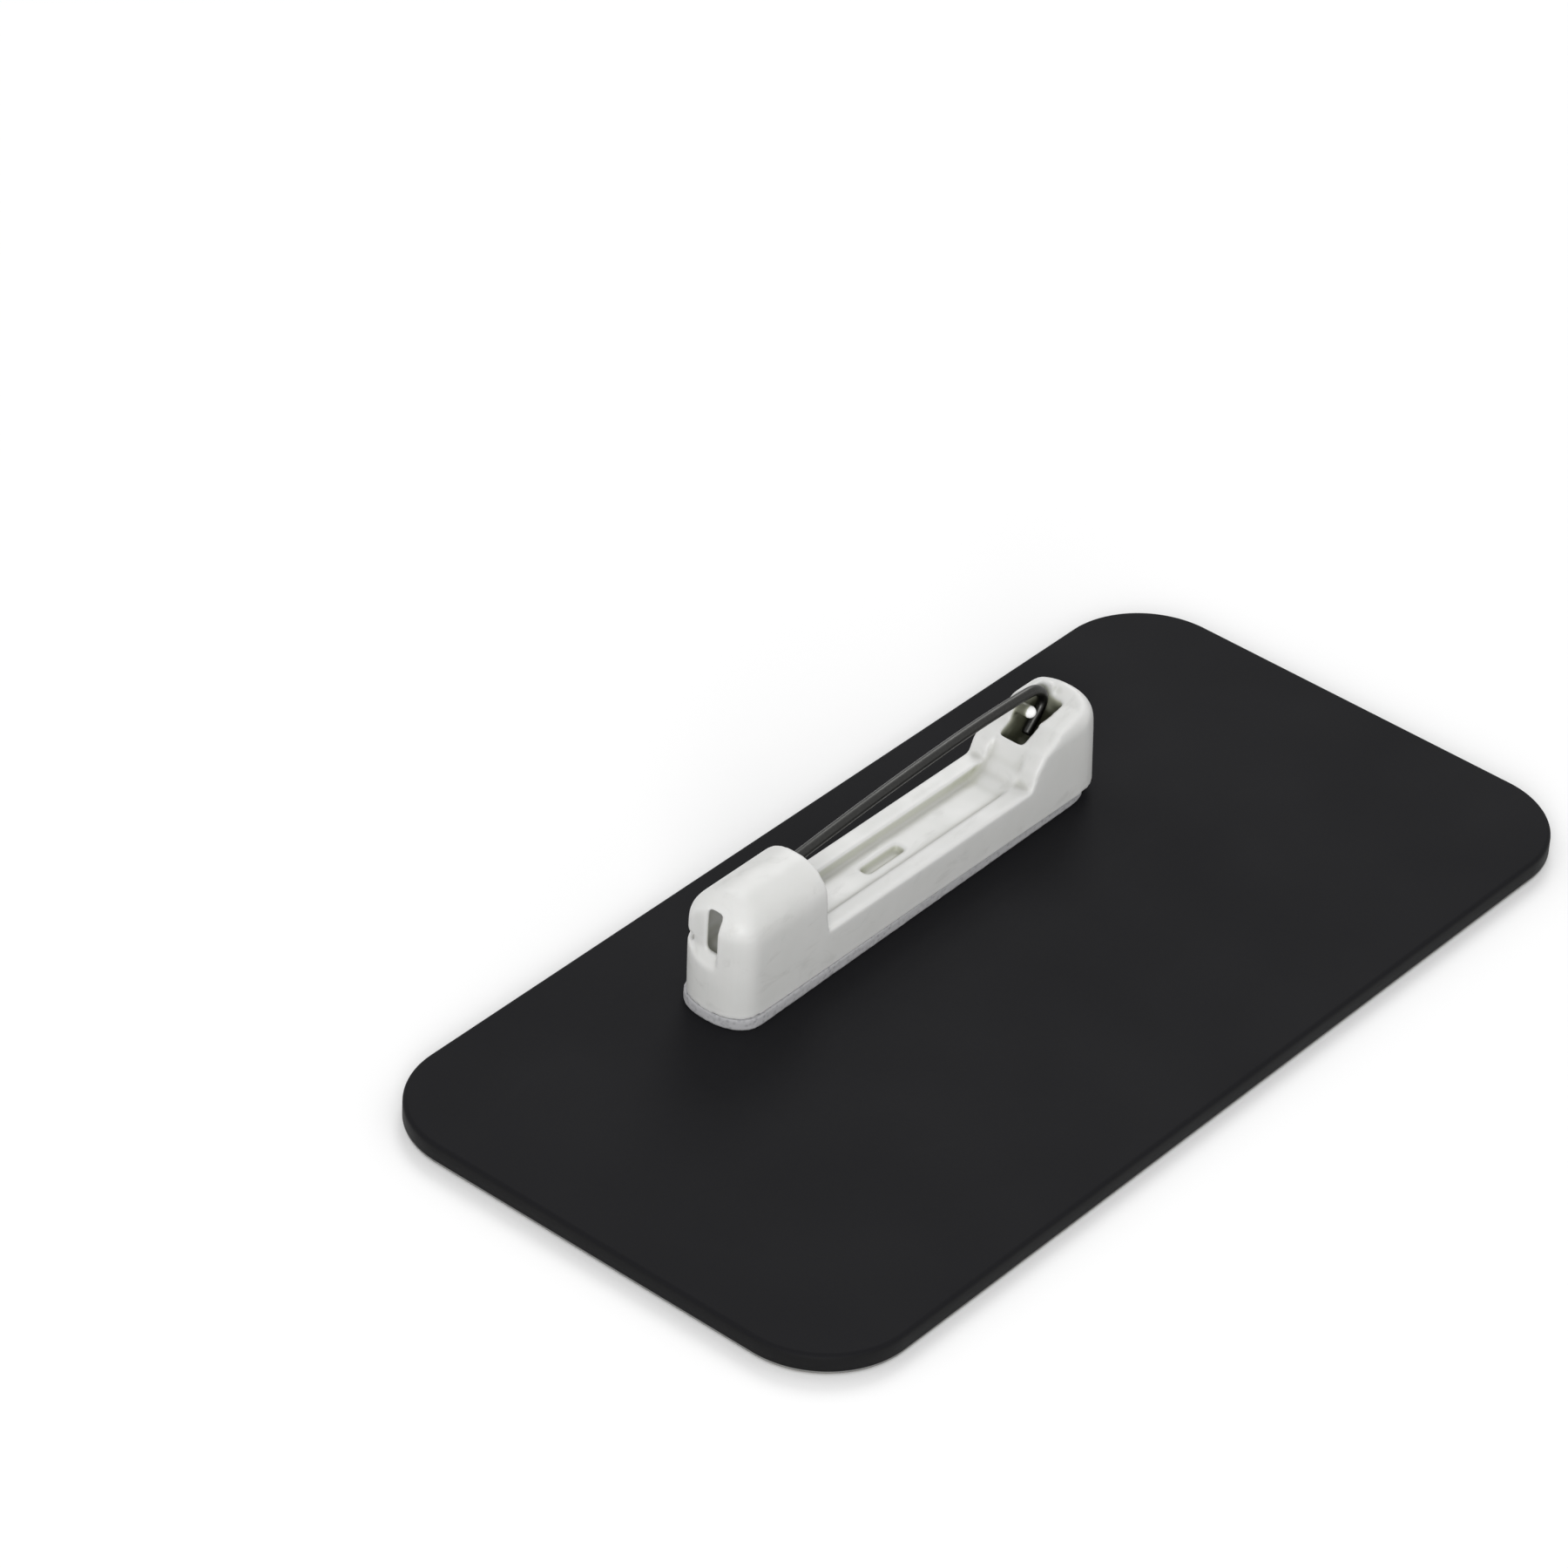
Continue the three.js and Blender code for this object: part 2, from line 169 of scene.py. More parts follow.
@dataclass
class EffectShelf:
    """Keeps each shared effect as a node group, made the first time it is asked for."""

    made: dict[Effect, bpy.types.NodeTree] = field(default_factory=dict)
    cell_dark_to: float = 0.15
    cell_pale_from: float = 0.5
    cell_wall_top: float = 0.6
    scuff_stretch: Place = (0.5, 1.0, 1.0)
    scuff_fade: float = 0.12

    def place(self, board: Board, effect: Effect, **values: float) -> bpy.types.Node:
        """Places an effect in a material.

        Args:
            board: The material's board.
            effect: Which effect.
            **values: Its inputs by name, with underscores for spaces.

        Returns:
            The group's node.
        """
        if effect not in self.made:
            self.made[effect] = self.build(effect)
        node = board.add("ShaderNodeGroup", node_tree=self.made[effect])
        for name, value in values.items():
            node.inputs[name.replace("_", " ")].default_value = value
        return node

    def build(self, effect: Effect) -> bpy.types.NodeTree:
        """Makes an effect's node group.

        Args:
            effect: Which effect.

        Returns:
            The new group.
        """
        tree = bpy.data.node_groups.new(effect.value, "ShaderNodeTree")
        board = Board(tree)
        recipes = {
            Effect.GRAIN: self.build_grain,
            Effect.CLOUD: self.build_cloud,
            Effect.CELLS: self.build_cells,
            Effect.SCUFF: self.build_scuff,
        }
        recipes[effect](board)
        return tree

    def openings(self, board: Board, inputs: dict[str, float], outputs: tuple[str, ...]) -> bpy.types.Node:
        """Gives a group its named inputs and outputs.

        Args:
            board: The group's board.
            inputs: Each input's name and usual value.
            outputs: The outputs' names.

        Returns:
            The group's input node.
        """
        for name, value in inputs.items():
            socket = board.tree.interface.new_socket(name, in_out="INPUT", socket_type="NodeSocketFloat")
            socket.default_value = value
        for name in outputs:
            board.tree.interface.new_socket(name, in_out="OUTPUT", socket_type="NodeSocketFloat")
        return board.add("NodeGroupInput")

    def close(self, board: Board, results: dict[str, Socket]) -> None:
        """Joins a group's results to its outputs.

        Args:
            board: The group's board.
            results: The outputs by name.
        """
        board.add("NodeGroupOutput", results)

    def place_in_mm(self, board: Board, stretch: Place = EVENLY) -> Socket:
        """Gives the place on the piece in millimetres.

        Args:
            board: The group's board.
            stretch: How much each axis counts.

        Returns:
            The place as a vector.
        """
        where = board.add("ShaderNodeTexCoord").outputs["Object"]
        scale = tuple(PER_MM * share for share in stretch)
        return board.add("ShaderNodeMapping", {"Vector": where, "Scale": scale}).outputs[0]

    def noise(
        self, board: Board, given: bpy.types.Node, stretch: Place = EVENLY, **form: float
    ) -> Socket:
        """Places a noise whose size in millimetres is the group's Size input.

        Args:
            board: The group's board.
            given: The group's input node.
            stretch: How much each axis counts.
            **form: The noise's own inputs, such as Detail.

        Returns:
            The noise's value.
        """
        frequency = board.math("DIVIDE", 1.0, given.outputs["Size"])
        inputs = {"Vector": self.place_in_mm(board, stretch), "Scale": frequency, **form}
        return board.add("ShaderNodeTexNoise", inputs).outputs["Fac"]

    def build_grain(self, board: Board) -> None:
        """Fine even grain: a mask round its middle, and its height."""
        given = self.openings(board, {"Size": 0.1, "Contrast": 1.0}, ("Mask", "Height"))
        value = self.noise(board, given, Detail=3.0, Roughness=0.6)
        from_middle = board.math("SUBTRACT", value, NOISE_MIDDLE)
        swing = board.math("MULTIPLY", from_middle, given.outputs["Contrast"])
        mask = board.add("ShaderNodeClamp", {"Value": board.math("ADD", swing, NOISE_MIDDLE)}).outputs[0]
        self.close(board, {"Mask": mask, "Height": value})

    def build_cloud(self, board: Board) -> None:
        """Broad soft unevenness, as of handling or of uneven moulding."""
        given = self.openings(board, {"Size": 8.0, "Softness": 0.3}, ("Mask",))
        value = self.noise(board, given, Detail=2.0, Roughness=0.5)
        low = board.math("SUBTRACT", NOISE_MIDDLE, given.outputs["Softness"])
        high = board.math("ADD", NOISE_MIDDLE, given.outputs["Softness"])
        self.close(board, {"Mask": board.spread(value, low, high, 0.0, 1.0)})

    def build_cells(self, board: Board) -> None:
        """The cut cells of foam: how deep each place lies, and the dark of its holes."""
        given = self.openings(board, {"Size": 0.25}, ("Hole", "Height"))
        frequency = board.math("DIVIDE", 1.0, given.outputs["Size"])
        inputs = {"Vector": self.place_in_mm(board), "Scale": frequency, "Randomness": 1.0}
        distance = board.add("ShaderNodeTexVoronoi", inputs).outputs["Distance"]
        hole = board.spread(distance, self.cell_dark_to, self.cell_pale_from, 1.0, 0.0)
        height = board.spread(distance, 0.0, self.cell_wall_top, 0.0, 1.0)
        self.close(board, {"Hole": hole, "Height": height})

    def build_scuff(self, board: Board) -> None:
        """Sparse faint streaks, twice as long as they are wide, where something has rubbed."""
        given = self.openings(board, {"Size": 1.2, "Rarity": 0.58}, ("Mask",))
        value = self.noise(board, given, self.scuff_stretch, Detail=5.0, Roughness=0.62, Distortion=0.6)
        full = board.math("ADD", given.outputs["Rarity"], self.scuff_fade)
        self.close(board, {"Mask": board.spread(value, given.outputs["Rarity"], full, 0.0, 1.0)})


SHELF = EffectShelf()


def new_material(name: str) -> tuple[bpy.types.Material, Board, bpy.types.Node]:
    """Starts a material with one surface shader.

    Args:
        name: The material's name.

    Returns:
        The material, its board and its shader.
    """
    material = bpy.data.materials.new(name)
    material.use_nodes = True
    material.node_tree.nodes.clear()
    board = Board(material.node_tree)
    shader = board.add("ShaderNodeBsdfPrincipled")
    board.add("ShaderNodeOutputMaterial", {"Surface": shader.outputs[0]})
    return material, board, shader


def bump(board: Board, shader: bpy.types.Node, height: Socket, depth_mm: float) -> None:
    """Raises the shader's surface by a height.

    Args:
        board: The material's board.
        shader: Its surface shader.
        height: The height, from 0 to 1.
        depth_mm: How high 1 stands.
    """
    inputs = {"Height": height, "Distance": depth_mm * MM, "Strength": 1.0}
    board.fill(shader.inputs["Normal"], board.add("ShaderNodeBump", inputs).outputs[0])


def vary_roughness(
    board: Board, shader: bpy.types.Node, cloud: bpy.types.Node, low: float, high: float
) -> None:
    """Lets the shader's roughness vary softly over the surface.

    Args:
        board: The material's board.
        shader: Its surface shader.
        cloud: The soft cloud that it follows.
        low: The least roughness.
        high: The most.
    """
    board.fill(shader.inputs["Roughness"], board.spread(cloud.outputs["Mask"], 0.0, 1.0, low, high))


@dataclass(frozen=True)
class GoldFilm:
    """Satin metallic gold film with a very fine grain."""

    colour: Colour = (0.600, 0.424, 0.128)
    shadow_colour: Colour = (0.560, 0.386, 0.108)
    metal: float = 0.9
    roughness: float = 0.36
    roughness_swing: float = 0.03
    grain_mm: float = 0.11
    grain_contrast: float = 2.2
    grain_depth_mm: float = 0.002
    cloud_mm: float = 14.0
    cloud_softness: float = 0.4

    def material(self) -> bpy.types.Material:
        """Makes the finish."""
        material, board, shader = new_material("gold_film")
        grain = SHELF.place(board, Effect.GRAIN, Size=self.grain_mm, Contrast=self.grain_contrast)
        cloud = SHELF.place(board, Effect.CLOUD, Size=self.cloud_mm, Softness=self.cloud_softness)
        colour = board.blend(grain.outputs["Mask"], self.shadow_colour, self.colour)
        board.fill(shader.inputs["Base Color"], colour)
        swing = self.roughness_swing
        vary_roughness(board, shader, cloud, self.roughness - swing, self.roughness + swing)
        shader.inputs["Metallic"].default_value = self.metal
        bump(board, shader, grain.outputs["Height"], self.grain_depth_mm)
        return material


@dataclass(frozen=True)
class BlackSheet:
    """Matte sheet plastic with a fine even tooth: the black back, or one of the cut edges."""

    name: str = "black_sheet"
    colour: Colour = (0.0068, 0.0068, 0.0080)
    lighter: Colour = (0.0090, 0.0090, 0.0102)
    roughness: float = 0.70
    roughness_swing: float = 0.05
    gloss: float = 0.09
    tooth_mm: float = 0.09
    tooth_contrast: float = 1.6
    tooth_depth_mm: float = 0.0025
    cloud_mm: float = 11.0
    cloud_softness: float = 0.35
    scuff_mm: float = 3.5
    scuff_rarity: float = 0.60
    scuff_strength: float = 0.5

    def material(self) -> bpy.types.Material:
        """Makes the finish."""
        material, board, shader = new_material(self.name)
        grain = SHELF.place(board, Effect.GRAIN, Size=self.tooth_mm, Contrast=self.tooth_contrast)
        cloud = SHELF.place(board, Effect.CLOUD, Size=self.cloud_mm, Softness=self.cloud_softness)
        scuff = SHELF.place(board, Effect.SCUFF, Size=self.scuff_mm, Rarity=self.scuff_rarity)
        speckled = board.blend(grain.outputs["Mask"], self.colour, self.lighter)
        rub = board.math("MULTIPLY", scuff.outputs["Mask"], self.scuff_strength)
        board.fill(shader.inputs["Base Color"], board.blend(rub, speckled, self.lighter))
        swing = self.roughness_swing
        vary_roughness(board, shader, cloud, self.roughness - swing, self.roughness + swing)
        shader.inputs["Specular IOR Level"].default_value = self.gloss
        bump(board, shader, grain.outputs["Height"], self.tooth_depth_mm)
        return material


@dataclass(frozen=True)
class FoamTape:
    """Pale foam tape with the open cells of its cut edge."""

    colour: Colour = (0.385, 0.385, 0.395)
    shadow_colour: Colour = (0.25, 0.25, 0.262)
    cell_mm: float = 0.3
    cell_depth_mm: float = 0.012
    mottle_mm: float = 0.9
    mottle_softness: float = 0.25
    least_shadow: float = 0.15
    roughness: float = 0.9
    gloss: float = 0.2

    def material(self) -> bpy.types.Material:
        """Makes the finish."""
        material, board, shader = new_material("foam_tape")
        cells = SHELF.place(board, Effect.CELLS, Size=self.cell_mm)
        mottle = SHELF.place(board, Effect.CLOUD, Size=self.mottle_mm, Softness=self.mottle_softness)
        strength = board.math("ADD", mottle.outputs["Mask"], self.least_shadow)
        share = board.math("MULTIPLY", cells.outputs["Hole"], strength)
        board.fill(shader.inputs["Base Color"], board.blend(share, self.colour, self.shadow_colour))
        shader.inputs["Roughness"].default_value = self.roughness
        shader.inputs["Specular IOR Level"].default_value = self.gloss
        bump(board, shader, cells.outputs["Height"], self.cell_depth_mm)
        return material


@dataclass(frozen=True)
class MouldedPlastic:
    """White moulded plastic, satin, with painted highlights on its edges, painted grey shade in its
    creases, painted olive shade in its hollows, painted dark shade deep in them and a painted highlight on
    the post's dome.
    """

    colour: Colour = (0.625, 0.625, 0.612)
    uneven_colour: Colour = (0.585, 0.588, 0.572)
    # painted highlight: the paler white that convex edges are lightened towards
    edge_highlight_colour: Colour = (0.655, 0.655, 0.645)
    scuff_colour: Colour = (0.50, 0.50, 0.485)
    # painted shade: the grey that creases are darkened towards
    crease_shade_colour: Colour = (0.40, 0.40, 0.365)
    # painted shade: the olive that enclosed places are darkened towards
    shaded_colour: Colour = (0.40, 0.41, 0.325)
    # painted shade: the near black deep in the hollows
    hollow_shade_colour: Colour = (0.085, 0.088, 0.058)
    # painted highlight: the near white that the post's dome is brightened to
    painted_highlight_colour: Colour = (0.93, 0.93, 0.93)
    shaded_from: float = 0.22
    shaded_full: float = 0.46
    hollow_shade_from: float = 0.42
    hollow_shade_full: float = 0.76
    edge_highlight_from: float = -0.15
    edge_highlight_strength: float = 0.7
    crease_shade_from: float = 0.12
    crease_shade_strength: float = 0.75
    scuff_mm: float = 1.6
    scuff_rarity: float = 0.56
    scuff_strength: float = 0.55
    cloud_mm: float = 2.6
    cloud_softness: float = 0.25
    grain_mm: float = 0.12
    grain_contrast: float = 1.2
    grain_depth_mm: float = 0.0025
    roughness: float = 0.42
    smoother_by: float = 0.05
    rougher_by: float = 0.06
    polish_coat: float = 0.8
    coat_roughness: float = 0.12
    glow: float = 0.08
    glow_radius: Place = (1.0, 0.9, 0.8)
    glow_depth_mm: float = 0.5

    def material(self) -> bpy.types.Material:
        """Makes the finish, which reads how creased, enclosed and polished each point of the mesh is, and
        paints highlight and shade from these marks.
        """
        material, board, shader = new_material("moulded_plastic")
        crease, hollow, polish_and_highlight = (
            board.add("ShaderNodeAttribute", attribute_name=name).outputs["Fac"]
            for name in ("crease", "hollow", "polish_and_highlight")
        )
        cloud = SHELF.place(board, Effect.CLOUD, Size=self.cloud_mm, Softness=self.cloud_softness)
        grain = SHELF.place(board, Effect.GRAIN, Size=self.grain_mm, Contrast=self.grain_contrast)
        scuff = SHELF.place(board, Effect.SCUFF, Size=self.scuff_mm, Rarity=self.scuff_rarity)
        even = board.blend(cloud.outputs["Mask"], self.colour, self.uneven_colour)
        rub = board.math("MULTIPLY", scuff.outputs["Mask"], self.scuff_strength)
        rubbed = board.blend(rub, even, self.scuff_colour)
        # painted highlight: convex edges are lightened where light would catch them
        edge = board.spread(crease, -1.0, self.edge_highlight_from, self.edge_highlight_strength, 0.0)
        edge_highlighted = board.blend(edge, rubbed, self.edge_highlight_colour)
        # painted shade: concave creases are darkened towards grey
        crease_shade = board.spread(crease, self.crease_shade_from, 1.0, 0.0, self.crease_shade_strength)
        creased = board.blend(crease_shade, edge_highlighted, self.crease_shade_colour)
        # painted shade: enclosed places turn olive
        shade = board.spread(hollow, self.shaded_from, self.shaded_full, 0.0, 1.0)
        shaded = board.blend(shade, creased, self.shaded_colour)
        # painted shade: deeply enclosed places turn near black
        deep = board.spread(hollow, self.hollow_shade_from, self.hollow_shade_full, 0.0, 1.0)
        hollow_shaded = board.blend(deep, shaded, self.hollow_shade_colour)
        # painted highlight: the post's dome is brightened; its coat of gloss is real
        board.fill(shader.inputs["Base Color"], board.blend(polish_and_highlight, hollow_shaded, self.painted_highlight_colour))
        low, high = self.roughness - self.smoother_by, self.roughness + self.rougher_by
        vary_roughness(board, shader, cloud, low, high)
        board.fill(shader.inputs["Coat Weight"], board.math("MULTIPLY", polish_and_highlight, self.polish_coat))
        shader.inputs["Coat Roughness"].default_value = self.coat_roughness
        shader.inputs["Subsurface Weight"].default_value = self.glow
        shader.inputs["Subsurface Radius"].default_value = self.glow_radius
        shader.inputs["Subsurface Scale"].default_value = self.glow_depth_mm * MM
        bump(board, shader, grain.outputs["Height"], self.grain_depth_mm)
        return material


@dataclass(frozen=True)
class DrawnSteel:
    """Drawn steel wire with a fine uneven grain, its colour darkened far below bare steel as painted shade
    for the dark surroundings that it reflects.
    """

    # painted shade: far darker than bare steel, for the dark surroundings that the wire reflects
    colour: Colour = (0.064, 0.064, 0.061)
    shadow_colour: Colour = (0.046, 0.046, 0.045)
    metal: float = 1.0
    roughness: float = 0.36
    smoother_by: float = 0.05
    rougher_by: float = 0.08
    grain_mm: float = 0.16
    grain_contrast: float = 1.5
    grain_depth_mm: float = 0.0015
    cloud_mm: float = 1.8
    cloud_softness: float = 0.3

    def material(self) -> bpy.types.Material:
        """Makes the finish."""
        material, board, shader = new_material("drawn_steel")
        grain = SHELF.place(board, Effect.GRAIN, Size=self.grain_mm, Contrast=self.grain_contrast)
        cloud = SHELF.place(board, Effect.CLOUD, Size=self.cloud_mm, Softness=self.cloud_softness)
        colour = board.blend(grain.outputs["Mask"], self.shadow_colour, self.colour)
        board.fill(shader.inputs["Base Color"], colour)
        low, high = self.roughness - self.smoother_by, self.roughness + self.rougher_by
        vary_roughness(board, shader, cloud, low, high)
        shader.inputs["Metallic"].default_value = self.metal
        bump(board, shader, grain.outputs["Height"], self.grain_depth_mm)
        return material


def dress(piece: bpy.types.Object, *materials: bpy.types.Material) -> None:
    """Gives a piece its materials, in the order of its faces' numbers.

    Args:
        piece: The piece.
        *materials: Its materials.
    """
    for material in materials:
        piece.data.materials.append(material)


def settle(piece: bpy.types.Object, node: str, body: str) -> None:
    """Puts a finished piece in place of a node.

    Args:
        piece: The piece.
        node: The node that it stands for.
        body: The body that it moves with.
    """
    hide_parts(node)
    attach(piece, body)
    LOG.info("%s: %d faces, stands for %s, rides on %s", piece.name, len(piece.data.polygons), node, body)


def piece_from(name: str, mesh: bpy.types.Mesh) -> bpy.types.Object:
    """Makes an object from a mesh in millimetres.

    Args:
        name: The piece's name.
        mesh: Its mesh.

    Returns:
        The new object, in metres.
    """
    mesh.transform(Matrix.Scale(MM, 4))
    mesh.update()
    piece = bpy.data.objects.new(name, mesh)
    bpy.context.scene.collection.objects.link(piece)
    return piece


def node_box(node: str) -> tuple[np.ndarray, np.ndarray]:
    """Gives a node's lowest and highest corners in millimetres."""
    low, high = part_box(node)
    return np.array(low) / MM, np.array(high) / MM


def stacked_mesh(name: str, rings: list[np.ndarray], flat_from: float = 0.9) -> bpy.types.Mesh:
    """Skins a stack of rings and closes both ends.

    Args:
        name: The mesh's name.
        rings: Rings of equally many points, from the bottom up.
        flat_from: A face whose normal points more up or down than this is shaded flat if it is an end.

    Returns:
        The mesh, with each end as a single face.
    """
    count = len(rings[0])
    points = np.concatenate(rings)
    faces: list[list[int]] = []
    for ring in range(len(rings) - 1):
        for step in range(count):
            a, b = ring * count + step, ring * count + (step + 1) % count
            faces.append([a, b, b + count, a + count])
    last = (len(rings) - 1) * count
    faces.append(list(reversed(range(count))))
    faces.append(list(range(last, last + count)))
    mesh = bpy.data.meshes.new(name)
    mesh.from_pydata(points.tolist(), [], faces)
    for polygon in mesh.polygons:
        polygon.use_smooth = len(polygon.vertices) == 4 or abs(polygon.normal.z) < flat_from
    return mesh


def rounded_rectangle(
    half: np.ndarray, radius: float, inset: float, height: float, steps: int
) -> np.ndarray:
    """Gives a rounded rectangle's outline, anticlockwise from above.

    Args:
        half: Half its length and half its width.
        radius: Its corner radius.
        inset: How far the whole outline is moved in.
        height: Its height.
        steps: Steps round each corner.

    Returns:
        Its points.
    """
    points = []
    for corner in range(4):
        sign = np.array([1 if corner in (0, 3) else -1, 1 if corner < 2 else -1])
        centre = sign * (half - radius)
        for step in range(steps + 1):
            angle = (corner + step / steps) * math.pi / 2
            reach = (radius - inset) * np.array([math.cos(angle), math.sin(angle)])
            points.append([*(centre + reach), height])
    return np.array(points)


@dataclass
class Plate:
    """The badge's plate: a black sheet with a gold film on its front, which lies underneath."""

    corner_radius: float = 6.35
    corner_steps: int = 40
    back_edge_round: float = 0.32
    front_edge_chamfer: float = 0.2
    chamfer_knee_in: float = 0.25
    chamfer_knee_up: float = 0.6
    seam: float = 0.015
    round_steps: int = 6
    side_below: float = 0.6
    face_below: float = -0.99
    # painted shade: the sides' black is darker than the back's, as the sides fall in shade
    shaded_black_edge: BlackSheet = BlackSheet(
        name="shaded_black_cut_edge",
        colour=(0.0040, 0.0040, 0.0045),
        lighter=(0.0065, 0.0065, 0.0070),
        roughness=0.6,
        gloss=0.12,
    )
    pale_edge: BlackSheet = BlackSheet(
        name="pale_cut_edge",
        colour=(0.12, 0.12, 0.115),
        lighter=(0.19, 0.19, 0.185),
        roughness=0.5,
        gloss=0.3,
    )

    def half(self, node: str) -> np.ndarray:
        """Gives half of a node's length and half of its width."""
        low, high = node_box(node)
        return (high - low)[:2] / 2

    def ring(self, node: str, inset: float, height: float) -> np.ndarray:
        """Gives the plate's outline.

        Args:
            node: The node whose size it has.
            inset: How far it is moved in.
            height: Its height.

        Returns:
            Its points.
        """
        return rounded_rectangle(self.half(node), self.corner_radius, inset, height, self.corner_steps)

    def make_core(self) -> bpy.types.Object:
        """Makes the black sheet, with its back edge rounded and its side numbered as the cut edge, which
        is painted a darker black as shade.
        """
        low, high = node_box("plate_core")
        rings = [
            self.ring("plate_core", self.seam, low[2]),
            self.ring("plate_core", 0.0, low[2] + self.seam),
        ]
        for step in range(self.round_steps + 1):
            angle = step / self.round_steps * math.pi / 2
            inset = self.back_edge_round * (1 - math.cos(angle))
            height = high[2] - self.back_edge_round * (1 - math.sin(angle))
            rings.append(self.ring("plate_core", inset, height))
        mesh = stacked_mesh("black_sheet", rings)
        for polygon in mesh.polygons:
            polygon.material_index = 1 if polygon.normal.z < self.side_below else 0
        return piece_from("black_sheet", mesh)

    def make_film(self) -> bpy.types.Object:
        """Makes the front layer: gold below, and a pale chamfered edge where it is cut."""
        low, high = node_box("face_cap")
        chamfer = self.front_edge_chamfer
        rings = [
            self.ring("face_cap", chamfer, low[2]),
            self.ring("face_cap", self.chamfer_knee_in * chamfer, low[2] + self.chamfer_knee_up * chamfer),
            self.ring("face_cap", 0.0, low[2] + chamfer),
            self.ring("face_cap", 0.0, high[2] - self.seam),
            self.ring("face_cap", self.seam, high[2]),
        ]
        mesh = stacked_mesh("gold_front", rings)
        for polygon in mesh.polygons:
            polygon.material_index = 0 if polygon.normal.z < self.face_below else 1
        return piece_from("gold_front", mesh)

    def build(self) -> None:
        """Makes both layers and dresses them."""
        core = self.make_core()
        dress(core, BlackSheet().material(), self.shaded_black_edge.material())
        settle(core, "plate_core", "badge")
        film = self.make_film()
        dress(film, GoldFilm().material(), self.pale_edge.material())
        settle(film, "face_cap", "badge")


@dataclass
class FoamPad:
    """The foam tape between plate and pin, with the ragged cells of its cut edge."""

    foot_band: float = 0.1
    around: int = 900
    levels: int = 9
    ragged: float = 0.018
    ragged_reach: float = 1.6
    most_proud: float = 0.5
    kept_below: float = 0.45
    beside: tuple[int, ...] = (-2, -1, 0, 1, 2)
    rim_round: float = 0.06
    rim_power: int = 6
    seed: int = 7

    def outline(self) -> np.ndarray:
        """Gives the outline of the node's foot with evenly spaced points, anticlockwise in plan."""
        points = points_of(mesh_copy("adhesive_pad"))
        foot = points[points[:, 2] < points[:, 2].min() + self.foot_band, :2]
        outward = foot - foot.mean(axis=0)
        order = np.argsort(np.arctan2(outward[:, 1], outward[:, 0]))
        loop = foot[np.append(order, order[0])]
        along = np.concatenate([[0], np.cumsum(np.linalg.norm(np.diff(loop, axis=0), axis=1))])
        even = np.linspace(0, along[-1], self.around, endpoint=False)
        return np.stack([np.interp(even, along, loop[:, axis]) for axis in (0, 1)], axis=1)

    def make(self) -> bpy.types.Object:
        """Makes the pad."""
        low, high = node_box("adhesive_pad")
        plan = self.outline()
        ahead = np.roll(plan, -1, axis=0) - np.roll(plan, 1, axis=0)
        outward = np.stack([ahead[:, 1], -ahead[:, 0]], axis=1)
        outward /= np.linalg.norm(outward, axis=1, keepdims=True)
        random = np.random.default_rng(self.seed)
        rings = []
        rough = np.zeros(self.around)
        for level in range(self.levels):
            share = level / (self.levels - 1)
            fresh = random.normal(size=self.around)
            soft = sum(np.roll(fresh, places) for places in self.beside) / len(self.beside)
            rough = self.kept_below * rough + (1 - self.kept_below) * soft
            crown = 1 - (2 * share - 1) ** self.rim_power
            shift = self.ragged * rough * self.ragged_reach - self.rim_round * (1 - crown)
            height = low[2] + share * (high[2] - low[2])
            ring = plan + outward * np.minimum(shift, self.most_proud * self.ragged)[:, None]
            rings.append(np.column_stack([ring, np.full(self.around, height)]))
        return piece_from("foam_tape", stacked_mesh("foam_tape", rings))

    def build(self) -> None:
        """Makes the pad and dresses it."""
        pad = self.make()
        dress(pad, FoamTape().material())
        settle(pad, "adhesive_pad", "badge")


def mesh_copy(node: str) -> bpy.types.Mesh:
    """Copies a node's mesh into millimetres, with its doubled points merged and no edge kept sharp."""
    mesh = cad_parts[node].data.copy()
    mesh.transform(Matrix.Scale(PER_MM, 4))
    for name in ("sharp_edge", "sharp_face", "custom_normal"):
        if name in mesh.attributes:
            mesh.attributes.remove(mesh.attributes[name])
    work = bmesh.new()
    work.from_mesh(mesh)
    bmesh.ops.remove_doubles(work, verts=work.verts, dist=MERGE_MM)
    work.to_mesh(mesh)
    work.free()
    mesh.materials.clear()
    return mesh


def with_modifiers(mesh: bpy.types.Mesh, *modifiers: tuple[str, dict]) -> bpy.types.Mesh:
    """Runs modifiers on a mesh and gives the result.

    Args:
        mesh: The mesh to start from.
        *modifiers: Each modifier's type and settings.

    Returns:
        A new mesh.
    """
    holder = bpy.data.objects.new("holder", mesh)
    bpy.context.scene.collection.objects.link(holder)
    for kind, settings in modifiers:
        modifier = holder.modifiers.new(kind.lower(), kind)
        for name, value in settings.items():
            setattr(modifier, name, value)
    graph = bpy.context.evaluated_depsgraph_get()
    result = bpy.data.meshes.new_from_object(holder.evaluated_get(graph), depsgraph=graph)
    bpy.data.objects.remove(holder)
    return result


def points_of(mesh: bpy.types.Mesh) -> np.ndarray:
    """Gives a mesh's points as rows."""
    points = np.zeros(len(mesh.vertices) * 3)
    mesh.vertices.foreach_get("co", points)
    return points.reshape(-1, 3)


def normals_of(mesh: bpy.types.Mesh) -> np.ndarray:
    """Gives the normal at each of a mesh's points as rows."""
    normals = np.zeros(len(mesh.vertices) * 3)
    mesh.vertex_normals.foreach_get("vector", normals)
    return normals.reshape(-1, 3)


